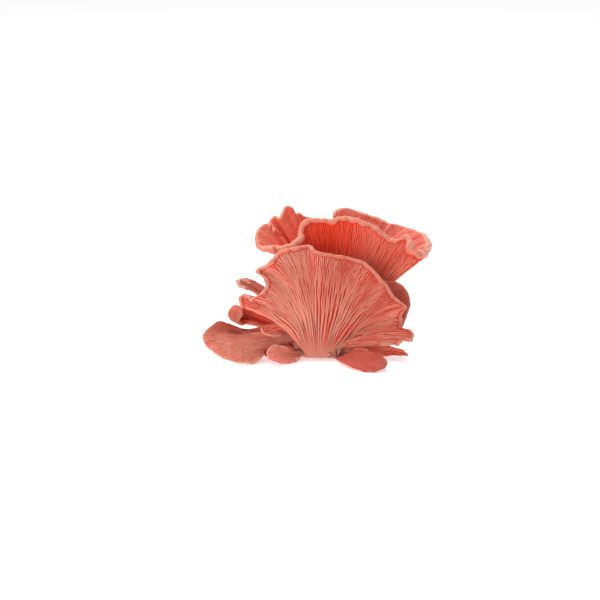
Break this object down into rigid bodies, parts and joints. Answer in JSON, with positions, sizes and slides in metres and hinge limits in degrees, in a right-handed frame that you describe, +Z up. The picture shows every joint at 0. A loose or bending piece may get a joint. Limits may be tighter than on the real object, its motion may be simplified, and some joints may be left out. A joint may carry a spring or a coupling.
{
  "type": "oyster mushroom cluster",
  "caption": "Cluster of pink oyster mushrooms, with fan-shaped caps that overlap, frilled rolled edges, and gills that run down to a shared cut base.",
  "frame": {"origin": "middle of the level face where the cluster was cut from its block", "axes": "+Z up, away from the cut face; +X along the cluster's width; the front mushroom's gills face -Y"},
  "size_m": [0.1138, 0.0793, 0.0682],
  "materials": {
    "coral_skin": "matte coral-pink cap skin with a fine felt nap",
    "pale_skin": "matte, paler pink cap skin with a fine felt nap",
    "deep_skin": "matte, deeper red-pink cap skin, slightly moist",
    "gills": "thin soft gills, pale pink at their edges and red in the grooves, that let light through",
    "stem_flesh": "pale, fibrous stem flesh"
  },
  "bodies": {
    "root": {"cut_base": "stem_flesh", "front_mushroom": "coral_skin", "rear_mushroom": "coral_skin", "back_mushroom": "pale_skin", "right_mushroom": "deep_skin", "curled_mushroom": "coral_skin", "paddle_mushroom": "coral_skin", "half_round_mushroom": "coral_skin", "tucked_mushroom": "deep_skin", "low_mushroom": "pale_skin", "tongue_mushroom": "deep_skin", "strap_mushroom": "deep_skin", "finger_mushroom": "pale_skin"}
  },
  "joints": []
}
